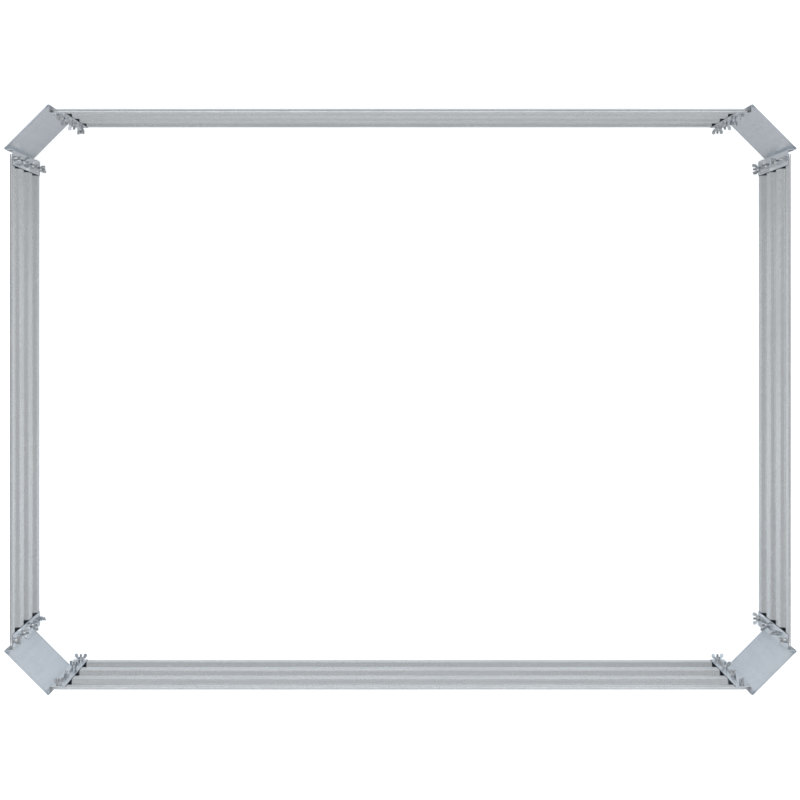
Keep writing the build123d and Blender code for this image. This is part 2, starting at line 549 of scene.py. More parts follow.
@dataclass(frozen=True)
class ZincPlate(Finish):
    """Bright zinc plating on small hardware.

    Args:
        grain: size of the grain in the plating or the casting under it, in metres.
        relief: height of that grain, in metres.
        crease: colour of the painted shade in its creases.
    """

    grain: float = 0.0006
    relief: float = 0.00002
    crease: Colour = (0.12, 0.13, 0.14, 1.0)

    def build(self, effects: Effects) -> Material:
        """Make the material.

        Args:
            effects: the shared shader groups.

        Returns:
            The finished material.
        """
        w, shader, place = self.start()
        marks = self.group(
            w, effects.handling, Vector=place, Scratch_Length=0.006, Scratch_Width=0.00008, Smudge_Size=0.006
        )
        pointiness = w.node("ShaderNodeNewGeometry").outputs["Pointiness"]
        plating = self.group(
            w, effects.plating, Vector=place, Pointiness=pointiness, Grain_Size=self.grain, Cloud_Size=1 / 220
        )
        edges = self.group(
            w, effects.edges, Vector=place, Edge=plating.outputs["Edges"], Amount=self.wear, Patch_Size=0.003
        )
        shade = w.math("MULTIPLY_ADD", marks.outputs["Smudges"], -0.2, plating.outputs["Shade"], clamp=True)
        colour = w.mix(shade, self.dark, self.light)
        colour = w.mix(edges.outputs["Mask"], colour, self.brighter(1.15))
        # Painted shade: the creases and hollows are darkened where shade falls.
        colour = w.mix(w.math("MULTIPLY", plating.outputs["Creases"], 0.8), colour, self.crease)
        w.feed(shader.inputs["Base Color"], colour)
        rough = w.remap(w.math("SUBTRACT", 1.0, shade), 0.2, 0.9, self.rough_low, self.rough_high)
        rough = w.math("MULTIPLY_ADD", edges.outputs["Mask"], -0.06, rough, clamp=True)
        w.feed(shader.inputs["Roughness"], rough)
        height = w.math("MULTIPLY_ADD", marks.outputs["Scratches"], -0.6, plating.outputs["Height"])
        bumps = {"Height": height, "Strength": 0.7, "Distance": self.relief}
        w.feed(shader.inputs["Normal"], w.node("ShaderNodeBump", bumps))
        return bpy.data.materials[self.name]


# ---------------- geometry trees


def bent_sheet_tree() -> NodeTree:
    """Sweep a folded line into a sheet: round its folds, draw it out along Z and let it ripple a little.

    Returns:
        A geometry tree that takes the folded line as edges, with the radius of each fold in the attribute "fold".
    """
    w, at, out = new_group(
        "bent_sheet", GEOMETRY, ["Sheet"], Folded_Line=SHAPE, Length=1.0, Steps_Along=60, Steps_Round_Fold=6,
        Ripple_Height=0.0005, Ripple_Size=0.25, Ripple_Seed=0.0, Still_Ends=0.06, Material=MATERIAL,
    )
    folded = w.node("GeometryNodeMeshToCurve", {"Mesh": at["Folded Line"]})
    folds = {"Radius": w.stored("fold"), "Count": at["Steps Round Fold"], "Limit Radius": True}
    rounded = w.node("GeometryNodeFilletCurve", {"Curve": folded, **folds}, mode="POLY")
    rail_end = w.node("ShaderNodeCombineXYZ", {"Z": at["Length"]})
    rail = w.node("GeometryNodeCurvePrimitiveLine", {"End": rail_end})
    rail = w.node("GeometryNodeResampleCurve", {"Curve": rail, "Count": at["Steps Along"]})
    sheet = w.node("GeometryNodeCurveToMesh", {"Curve": rail, "Profile Curve": rounded})
    spot = w.node("GeometryNodeInputPosition").outputs[0]
    z = w.part(spot, "Z")
    from_end = w.math("MINIMUM", z, w.math("SUBTRACT", at["Length"], z))
    free = w.remap(from_end, at["Still Ends"], w.math("MULTIPLY", at["Still Ends"], 4.0))
    noise = w.node(
        "ShaderNodeTexNoise",
        {"Vector": spot, "W": at["Ripple Seed"], "Scale": w.math("DIVIDE", 1.0, at["Ripple Size"]), "Detail": 1.0},
        noise_dimensions="4D",
    )
    swing = w.math("MULTIPLY", at["Ripple Height"], 2.0)
    height = w.math("MULTIPLY", w.math("SUBTRACT", noise.outputs[0], 0.5), swing)
    ripple = w.node("ShaderNodeCombineXYZ", {"X": w.math("MULTIPLY", height, free)})
    moved = w.node("GeometryNodeSetPosition", {"Geometry": sheet, "Offset": ripple})
    return w.close(out, moved, at["Material"])


def stood_on_points(w: Wiring, points: Any, item: Any) -> Node:
    """Stand an item on every point, its Z along the attribute "axis" and turned round that by "spin".

    Args:
        w: the wiring of the tree.
        points: the points' geometry.
        item: the item's geometry, drawn along +Z.

    Returns:
        The node that makes the copies real.
    """
    stand = w.node("FunctionNodeAlignRotationToVector", {"Vector": w.stored("axis", "FLOAT_VECTOR")}, axis="Z")
    turned = w.node("FunctionNodeAxisAngleToRotation", {"Axis": (0.0, 0.0, 1.0), "Angle": w.stored("spin")})
    both = w.node("FunctionNodeRotateRotation", {"Rotation": stand, "Rotate By": turned}, rotation_space="LOCAL")
    placed = w.node("GeometryNodeInstanceOnPoints", {"Points": points, "Instance": item, "Rotation": both})
    return w.node("GeometryNodeRealizeInstances", {"Geometry": placed})


def punched_tree() -> NodeTree:
    """Punch round holes through a sheet at the points of another object, each along the point's axis.

    Returns:
        A geometry tree that takes the sheet and the object that holds the hole points.
    """
    w, at, out = new_group(
        "punched_holes", GEOMETRY, ["Sheet"], Sheet=SHAPE, Hole_Points=OBJECT, Hole_Radius=0.0024, Punch_Length=0.006,
        Material=MATERIAL,
    )
    points = w.node("GeometryNodeObjectInfo", {"Object": at["Hole Points"]}, transform_space="ORIGINAL")
    round_bar = {"Vertices": 32, "Radius": at["Hole Radius"], "Depth": at["Punch Length"]}
    punch = w.node("GeometryNodeMeshCylinder", round_bar)
    punches = stood_on_points(w, points.outputs["Geometry"], punch.outputs["Mesh"])
    both = {"Mesh 1": at["Sheet"], "Mesh 2": punches}
    cut = w.node("GeometryNodeMeshBoolean", both, operation="DIFFERENCE", solver="EXACT")
    return w.close(out, cut, at["Material"])


def thread_tree() -> NodeTree:
    """A screw's threaded shank: a round bar whose surface rises and falls along a helix, with a bevelled point.

    Returns:
        A geometry tree that makes the shank along +Z from the origin.
    """
    w, at, out = new_group(
        "threaded_shank", GEOMETRY, ["Shank"], Geometry=SHAPE, Radius=0.002, Length=0.012, Pitch=0.0007,
        Thread_Depth=0.0004, Plain_Length=0.0008, Point_Length=0.0006, Steps_Round=28, Steps_Along=104,
        Material=MATERIAL,
    )
    steps = {"Vertices": at["Steps Round"], "Side Segments": at["Steps Along"]}
    bar = w.node("GeometryNodeMeshCylinder", {**steps, "Radius": 1.0, "Depth": at["Length"]})
    spot = w.node("ShaderNodeSeparateXYZ", {0: w.node("GeometryNodeInputPosition")}).outputs
    z = w.math("MULTIPLY_ADD", at["Length"], 0.5, spot["Z"])
    turns = w.math("DIVIDE", w.math("ARCTAN2", spot["Y"], spot["X"]), math.tau)
    phase = w.math("FRACT", w.math("SUBTRACT", w.math("DIVIDE", z, at["Pitch"]), turns))
    valley = w.math("MULTIPLY", w.math("ABSOLUTE", w.math("SUBTRACT", phase, 0.5)), 2.0)
    begun = w.node(
        "ShaderNodeMapRange",
        {"Value": z, "From Min": at["Plain Length"], "From Max": w.math("ADD", at["Plain Length"], at["Pitch"])},
    )
    cut = w.math("MULTIPLY", w.math("MULTIPLY", w.remap(valley, 0.12, 0.92), at["Thread Depth"]), begun)
    from_point = w.math("SUBTRACT", at["Length"], z)
    bevel = w.math("MAXIMUM", w.math("SUBTRACT", at["Point Length"], from_point), 0.0)
    radius = w.math("SUBTRACT", at["Radius"], w.math("MAXIMUM", cut, w.math("MULTIPLY", bevel, 0.9)))
    place = {"X": w.math("MULTIPLY", spot["X"], radius), "Y": w.math("MULTIPLY", spot["Y"], radius), "Z": z}
    moved = w.node("ShaderNodeCombineXYZ", place)
    shank = w.node("GeometryNodeSetPosition", {"Geometry": bar, "Position": moved})
    return w.close(out, shank, at["Material"])


def fastener_tree() -> NodeTree:
    """Stand one fastener on every point, along the point's axis and turned by its spin.

    Returns:
        A geometry tree that takes the points as a mesh, and the fastener as an object along +Z.
    """
    w, at, out = new_group("fastener_column", GEOMETRY, ["Fasteners"], Points=SHAPE, Fastener=OBJECT, Material=MATERIAL)
    one = w.node("GeometryNodeObjectInfo", {"Object": at["Fastener"]}, transform_space="ORIGINAL")
    return w.close(out, stood_on_points(w, at["Points"], one.outputs["Geometry"]), at["Material"])


@dataclass(frozen=True)
class Makers:
    """The geometry trees that the pieces are made with."""

    bent_sheet: NodeTree = field(default_factory=bent_sheet_tree)
    punched: NodeTree = field(default_factory=punched_tree)
    thread: NodeTree = field(default_factory=thread_tree)
    column: NodeTree = field(default_factory=fastener_tree)


# ---------------- mesh helpers


def new_object(name: str, mesh: Mesh) -> Object:
    """Put a mesh in the scene as an object at the origin."""
    made = bpy.data.objects.new(name, mesh)
    bpy.context.scene.collection.objects.link(made)
    return made


def mesh_of(
    name: str,
    points: Iterable[Sequence[float]],
    edges: Iterable[Sequence[int]] = (),
    faces: Iterable[Sequence[int]] = (),
) -> Mesh:
    """Make a mesh from points in metres, edges and faces."""
    mesh = bpy.data.meshes.new(name)
    mesh.from_pydata([tuple(p) for p in points], [tuple(e) for e in edges], [tuple(f) for f in faces])
    mesh.update()
    return mesh


def add_tree(holder: Object, tree: NodeTree, **values: Any) -> None:
    """Give an object a geometry tree, with its inputs written as words joined by underscores.

    Args:
        holder: the object that gets the modifier.
        tree: the geometry tree.
        values: each input's value, set by the socket's identifier.
    """
    modifier = holder.modifiers.new(tree.name, "NODES")
    modifier.node_group = tree
    sockets = [item for item in tree.interface.items_tree if item.item_type == "SOCKET" and item.in_out == "INPUT"]
    names = {socket.name: socket.identifier for socket in sockets}
    for key, value in values.items():
        modifier[names[key.replace("_", " ")]] = value


def settled(holder: Object, name: str) -> Mesh:
    """Turn an object with its modifiers into a plain mesh, and take the object away.

    Args:
        holder: the object to evaluate.
        name: the new mesh's name.

    Returns:
        The evaluated mesh, with nothing live on it.
    """
    bpy.context.view_layer.update()
    graph = bpy.context.evaluated_depsgraph_get()
    mesh = bpy.data.meshes.new_from_object(holder.evaluated_get(graph), depsgraph=graph)
    bpy.data.objects.remove(holder, do_unlink=True)
    for left_over in ("fold", "axis", "spin"):
        if left_over in mesh.attributes:
            mesh.attributes.remove(mesh.attributes[left_over])
    mesh.name = name
    return mesh


def cleaned(mesh: Mesh) -> Mesh:
    """Merge a mesh's doubled points and turn all its faces outwards."""
    work = bmesh.new()
    work.from_mesh(mesh)
    bmesh.ops.remove_doubles(work, verts=work.verts, dist=MERGED)
    bmesh.ops.recalc_face_normals(work, faces=work.faces)
    work.to_mesh(mesh)
    work.free()
    return mesh


def smoothed(mesh: Mesh, sharp_degrees: float = 30.0) -> Mesh:
    """Shade a mesh smooth, except across its sharp edges."""
    mesh.polygons.foreach_set("use_smooth", [True] * len(mesh.polygons))
    mesh.set_sharp_from_angle(angle=math.radians(sharp_degrees))
    return mesh


def joined(name: str, meshes: Sequence[Mesh]) -> Mesh:
    """Join several meshes into one, which keeps the first one's materials."""
    work = bmesh.new()
    for mesh in meshes:
        work.from_mesh(mesh)
    whole = bpy.data.meshes.new(name)
    work.to_mesh(whole)
    work.free()
    for material in meshes[0].materials:
        whole.materials.append(material)
    return whole


def drawn_out(name: str, near: Sequence[Sequence[float]], far: Sequence[Sequence[float]]) -> Mesh:
    """Draw one flat outline out to another with as many points into a closed mesh.

    Args:
        name: the mesh's name.
        near: one end's outline, in millimetres.
        far: the other end's outline.

    Returns:
        The closed mesh, with its faces outwards.
    """
    count = len(near)
    points = [Vector(corner) * MM for corner in (*near, *far)]
    faces = [tuple(range(count))[::-1], tuple(range(count, 2 * count))]
    faces += [(i, (i + 1) % count, count + (i + 1) % count, count + i) for i in range(count)]
    return cleaned(mesh_of(name, points, (), faces))


def lathed(name: str, outline: Sequence[Pair], steps: int) -> Mesh:
    """Turn an outline of radius and height round Z into a closed mesh.

    Args:
        name: the mesh's name.
        outline: points in millimetres, from the axis and back to it, or else round a ring's section.
        steps: how many sides the turned shape has.

    Returns:
        The turned mesh, with its faces outwards.
    """
    solid = outline[0][0] == 0
    rings: list[list[int]] = []
    points: list[tuple[float, float, float]] = []
    for r, z in outline:
        turns = [math.tau * i / steps for i in range(1 if r == 0 else steps)]
        rings.append(list(range(len(points), len(points) + len(turns))))
        points += [(r * math.cos(t) * MM, r * math.sin(t) * MM, z * MM) for t in turns]
    faces = []
    pairs = list(zip(rings, rings[1:])) + ([] if solid else [(rings[-1], rings[0])])
    for below, above in pairs:
        for i in range(steps):
            j = (i + 1) % steps
            corners = [ring[k % len(ring)] for ring, k in ((below, i), (below, j), (above, j), (above, i))]
            faces.append(tuple(dict.fromkeys(corners)))
    return cleaned(mesh_of(name, points, (), faces))


def arc(centre: Pair, radius: float, start: float, end: float, steps: int) -> list[Pair]:
    """Points along an arc in the plane, with its angles in degrees."""
    angles = [math.radians(start + (end - start) * i / steps) for i in range(steps + 1)]
    return [(centre[0] + radius * math.cos(a), centre[1] + radius * math.sin(a)) for a in angles]


def cut_by(mesh: Mesh, tool: Mesh) -> Mesh:
    """Take one closed mesh away from another."""
    holder, cutter = new_object(mesh.name + "_work", mesh), new_object(tool.name + "_work", tool)
    modifier = holder.modifiers.new("cut", "BOOLEAN")
    modifier.operation, modifier.solver, modifier.object = "DIFFERENCE", "EXACT", cutter
    whole = settled(holder, mesh.name)
    bpy.data.objects.remove(cutter, do_unlink=True)
    return whole


def stands(name: str, places: Sequence[Place]) -> Mesh:
    """Make the points that fasteners or punches stand on.

    Args:
        name: the mesh's name.
        places: each point's place in metres, its axis, and its spin in radians.

    Returns:
        A mesh of loose points with the attributes "axis" and "spin".
    """
    mesh = mesh_of(name, [place for place, _, _ in places])
    axis = mesh.attributes.new("axis", "FLOAT_VECTOR", "POINT")
    axis.data.foreach_set("vector", [number for _, way, _ in places for number in way])
    spin = mesh.attributes.new("spin", "FLOAT", "POINT")
    spin.data.foreach_set("value", [turn for _, _, turn in places])
    return mesh


def finished(name: str, mesh: Mesh, body: str, node: str) -> Object:
    """Make a finished piece, which stands for a CAD node, and report it.

    Args:
        name: the piece's name.
        mesh: its mesh, already in place.
        body: the CAD body that it rides on.
        node: the CAD node that it stands for.

    Returns:
        The piece's object.
    """
    piece = new_object(name, mesh)
    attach(piece, body)
    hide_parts(node)
    LOG.info("%s: %d faces, on %s", name, len(mesh.polygons), body)
    return piece


# ---------------- the sheet pieces


@dataclass
class BedSizes:
    """The frame's sizes in millimetres, as the CAD part has them."""

    overall_length: float = 1200.0
    overall_width: float = 895.0
    height: float = 300.0
    sheet: float = 0.8
    bend: float = 1.0
    rib_count: int = 3
    flat_width: float = 38.0
    end_flat: float = 25.0
    rib_depth: float = 8.0
    rib_run: float = 5.0
    rib_round: float = 4.0
    foot_lip: float = 6.0
    rim_lip: float = 4.0
    rim_return: float = 5.0
    corner_leg: float = 69.0
    step_out: float = 13.0
    flange: float = 23.0
    wall_gap: float = 6.0
    hem: float = 9.0
    hem_inset: float = 8.0
    screw_from_edge: float = 10.0
    hole_radius: float = 2.4
    washer_thickness: float = 0.8

    @property
    def fold(self) -> float:
        """Outside radius of every sharp bend."""
        return self.bend + self.sheet

    @property
    def tip_reach(self) -> float:
        """From a rounded tip to the corner that its faces would meet in."""
        return self.fold * math.sqrt(2)

    @property
    def rib_pitch(self) -> float:
        """From one rib to the next."""
        return (self.height - 2 * self.end_flat + self.flat_width) / self.rib_count

    @property
    def rib_lows(self) -> list[float]:
        """Height at which each rib leaves the flat below it."""
        return [self.end_flat + self.rib_pitch * rib for rib in range(self.rib_count)]

    @property
    def rows(self) -> list[float]:
        """Heights of the screws, one along each flat."""
        middle = [low - self.flat_width / 2 for low in self.rib_lows[1:]]
        return [self.end_flat / 2, *middle, self.height - self.end_flat / 2]

    def inner(self, wall: Wall) -> float:
        """How far a wall's inner face stands from the middle of the frame."""
        return (self.overall_length if wall.axes[0] == "Y" else self.overall_width) / 2 - self.step_out

    def half_bay(self, wall: Wall) -> float:
        """From the middle of a wall to the steps of the corner pieces at its ends."""
        return (self.overall_width if wall.axes[0] == "Y" else self.overall_length) / 2 - self.corner_leg

    def screw_reach(self, wall: Wall) -> float:
        """From the middle of a wall to the screws at its ends."""
        return self.half_bay(wall) - self.flange + self.screw_from_edge

    def on_wall(self, wall: Wall, x: float, depth: float, z: float) -> Vector:
        """A place on a wall, in metres.

        Args:
            wall: which wall.
            x: along the wall, before it is turned.
            depth: inwards from the wall's inner face.
            z: height.

        Returns:
            The place in the frame's own axes.
        """
        return wall.turn @ (Vector((x, depth - self.inner(wall), z)) * MM)


@dataclass
class LapStains:
    """Where shade is painted on the sheets, from the frame's sizes, in millimetres.

    Args:
        sizes: the frame's sizes.
        before_flange: from the edge of a flange to where the painted shade on a wall begins, so a thin painted shadow
            line runs along the flange.
        below_top: how far below the top that painted shade ends.
        past_wall: how far along a wall it may go, which is past the wall's end.
        past_rim: how far outwards of a wall's inner face the shade on its rim begins.
        rim_drop: how far below the top that shade begins.
        past_step: how far outwards of the inner face the painted shade on a step begins.
        step_drop: how far below the top it is at its darkest.
        step: from and to where shade is painted on a step, along the wall.
        above: how far above the top is past everything.
    """

    sizes: BedSizes
    before_flange: float = 1.3
    below_top: float = 3.8
    past_wall: float = 600.0
    past_rim: float = 1.9
    rim_drop: float = 2.4
    past_step: float = 0.7
    step_drop: float = 15.0
    step: Pair = (-0.8, 1.5)
    above: float = 10.0

    def on_wall(self, wall: Wall, inwards: float) -> tuple[Lap, Lap]:
        """The painted shade behind a wall's flanges, which begins inwards of its face, and the painted shade outside
        its rim.
        """
        s = self.sizes
        along, across = wall.axes
        start, face = s.half_bay(wall) - s.flange - self.before_flange, s.inner(wall)
        return (
            Lap(
                along, across, across, start * MM, self.past_wall * MM, (face - inwards) * MM,
                low=0.0, high=(s.height - self.below_top) * MM,
            ),
            Lap(
                along, across, across, -MM, self.past_wall * MM, (face + self.past_rim) * MM,
                low=(s.height - self.rim_drop) * MM, high=(s.height + self.above) * MM, strength=0.55, back=-1.0,
            ),
        )

    def on_steps(self) -> tuple[Lap, ...]:
        """The painted shade in both steps of a corner piece, near its top."""
        s = self.sizes
        low, high = (s.height - self.step_drop) * MM, (s.height + self.above) * MM
        laps = []
        for wall in (Wall.FRONT, Wall.LEFT):
            along, across = wall.axes
            start, end = ((s.half_bay(wall) + edge) * MM for edge in self.step)
            depth = (s.inner(wall) + self.past_step) * MM
            laps.append(Lap(along, across, along, start, end, depth, low, high, fade=0.10, strength=0.75))
        return tuple(laps)


@dataclass
class FoldedPiece:
    """A piece of sheet folded along parallel lines.

    Args:
        name: the piece's name.
        line: the folded line in its own X and Y, in millimetres, with the sheet's thickness to its right.
        folds: radius of the line at each of its inner points.
        length: how far it is drawn out along its own Z.
        steps: how many steps that takes.
        ripple: height of its slow waviness, towards its own X.
        seed: which waviness it gets.
        holes: centre and axis of each hole in its own axes, in metres.
    """

    name: str
    line: Sequence[Pair]
    folds: Sequence[float]
    length: float
    steps: int
    ripple: float
    seed: float
    holes: Sequence[tuple[Vector, Vector]]
    cut_edge: float = 0.16

    def build(self, sizes: BedSizes, makers: Makers, material: Material) -> Mesh:
        """Fold, thicken, edge and punch the sheet.

        Args:
            sizes: the frame's sizes.
            makers: the geometry trees.
            material: the piece's finish.

        Returns:
            The mesh, in the piece's own axes.
        """
        edges = [(i, i + 1) for i in range(len(self.line) - 1)]
        line = mesh_of(self.name, [(x * MM, y * MM, 0) for x, y in self.line], edges)
        fold = line.attributes.new("fold", "FLOAT", "POINT")
        fold.data.foreach_set("value", [0.0, *[radius * MM for radius in self.folds], 0.0])
        holder = new_object(self.name + "_work", line)
        add_tree(
            holder, makers.bent_sheet, Length=self.length * MM, Steps_Along=self.steps, Steps_Round_Fold=5,
            Ripple_Height=self.ripple * MM, Ripple_Size=0.2, Ripple_Seed=self.seed, Still_Ends=0.05,
            Material=material,
        )
        thickness = holder.modifiers.new("thickness", "SOLIDIFY")
        thickness.thickness, thickness.offset, thickness.use_even_offset = sizes.sheet * MM, SHEET_SIDE, True
        edge = holder.modifiers.new("cut_edges", "BEVEL")
        edge.width, edge.segments, edge.limit_method = self.cut_edge * MM, 2, "ANGLE"
        edge.angle_limit, edge.use_clamp_overlap = math.radians(60), False
        points = new_object(self.name + "_holes", stands(self.name + "_holes", [(*hole, 0.0) for hole in self.holes]))
        add_tree(
            holder, makers.punched, Hole_Points=points, Hole_Radius=sizes.hole_radius * MM,
            Punch_Length=8 * MM, Material=material,
        )
        mesh = settled(holder, self.name)
        bpy.data.objects.remove(points, do_unlink=True)
        return mesh


@dataclass
class RibbedWall:
    """One ribbed wall between two corner pieces.

    Args:
        sizes: the frame's sizes.
        wall: which wall it is.
        ripple: height of the sheet's slow waviness, in millimetres.
    """

    sizes: BedSizes
    wall: Wall
    ripple: float = 0.12

    def section(self) -> tuple[list[Pair], list[float]]:
        """The wall's folded line seen from its end, outward and up, and the radius of each fold."""
        s = self.sizes
        line: list[Pair] = [(s.foot_lip, 0), (0, 0)]
        folds = [s.fold]
        for low in s.rib_lows:
            high = low + s.rib_pitch - s.flat_width
            line += [(0, low), (s.rib_depth, low + s.rib_run), (s.rib_depth, high - s.rib_run), (0, high)]
            folds += [s.rib_round] * 4
        line += [(0, s.height), (s.rim_lip, s.height), (s.rim_lip, s.height - s.rim_return)]
        return line, [*folds, s.fold, s.fold]

    def build(self, makers: Makers, material: Material) -> Object:
        """Make the wall in its place.

        Args:
            makers: the geometry trees.
            material: the wall's finish.

        Returns:
            The wall's object.
        """
        s = self.sizes
        half = s.half_bay(self.wall) - s.wall_gap
        reach = s.screw_reach(self.wall)
        outward = Vector((1, 0, 0))
        holes = [(Vector((0, z, half + side * reach)) * MM, outward) for side in (-1, 1) for z in s.rows]
        line, folds = self.section()
        seed = 3.7 * self.wall.value[0] + 1
        piece = FoldedPiece(self.wall.label, line, folds, 2 * half, 90, self.ripple, seed, holes)
        mesh = piece.build(s, makers, material)
        upright = Matrix(((0, 0, -1, 0), (-1, 0, 0, 0), (0, 1, 0, 0), (0, 0, 0, 1)))
        centred = Matrix.Translation((0, 0, -half * MM))
        out = Matrix.Translation((0, -s.inner(self.wall) * MM, 0))
        mesh.transform(self.wall.turn @ out @ upright @ centred)
        node = "wall_" + self.wall.label
        return finished("ribbed_" + node, smoothed(cleaned(mesh)), "frame", node)


@dataclass
class CornerPiece:
    """A corner piece: two flanges, two steps and the slanted plate between them, with a folded top edge.

    Args:
        sizes: the frame's sizes.
        back: whether it stands at the back.
        right: whether it stands at the right.
    """

    sizes: BedSizes
    back: bool
    right: bool

    @property
    def label(self) -> str:
        """The corner's name in the CAD nodes."""
        return f"corner_{'back' if self.back else 'front'}_{'right' if self.right else 'left'}"

    @property
    def plan(self) -> tuple[float, float, float, float]:
        """The corner's tips and steps, as x and y of the first and x and y of the second, from the middle."""
        s = self.sizes
        tips = s.overall_length / 2 + s.tip_reach, s.overall_width / 2 + s.tip_reach
        return *tips, s.half_bay(Wall.FRONT), s.half_bay(Wall.LEFT)

    def hem(self) -> Mesh:
        """The plate's top edge folded flat against its inner side, for the front left corner."""
        s = self.sizes
        tip_x, tip_y, step_x, step_y = self.plan
        face = Vector((-(tip_x + step_x) / 2, -(tip_y + step_y) / 2, s.height))
        half = (s.corner_leg + s.tip_reach) / math.sqrt(2) - s.hem_inset
        inward, along = Vector((1, 1, 0)).normalized(), Vector((-1, 1, 0)).normalized()
        outline = [(s.sheet - 0.05, -s.hem), *arc((2 * s.sheet - 0.2, 0.2 - s.hem), 0.2, -90, 0, 3)]
        outline += [*arc((s.sheet, -s.sheet), s.sheet, 0, 90, 6), (s.sheet - 0.05, 0)]
        ends = [
            [face + inward * depth + along * side + Vector((0, 0, z)) for depth, z in outline] for side in (-half, half)
        ]
        return drawn_out("hem", *ends)

    def build(self, makers: Makers, material: Material) -> Object:
        """Make the corner piece in its place.

        Args:
            makers: the geometry trees.
            material: the corner piece's finish.

        Returns:
            The corner piece's object.
        """
        s = self.sizes
        tip_x, tip_y, step_x, step_y = self.plan
        inner_x, inner_y = s.inner(Wall.LEFT), s.inner(Wall.FRONT)
        line = [(s.flange - step_x, -inner_y), (-step_x, -inner_y), (-step_x, -tip_y)]
        line += [(-tip_x, -step_y), (-inner_x, -step_y), (-inner_x, s.flange - step_y)]
        holes = []
        for z in s.rows:
            holes.append((Vector((-s.screw_reach(Wall.FRONT), -inner_y, z)) * MM, Vector((0, 1, 0))))
            holes.append((Vector((-inner_x, -s.screw_reach(Wall.LEFT), z)) * MM, Vector((1, 0, 0))))
        piece = FoldedPiece(self.label, line, [s.bend, s.fold, s.fold, s.bend], s.height, 24, 0.0, 0.0, holes)
        mesh = joined(self.label, [piece.build(s, makers, material), self.hem()])
        mesh.transform(Matrix.Diagonal((-1 if self.right else 1, -1 if self.back else 1, 1, 1)))
        return finished("folded_" + self.label, smoothed(cleaned(mesh)), "frame", self.label)


# ---------------- the fasteners


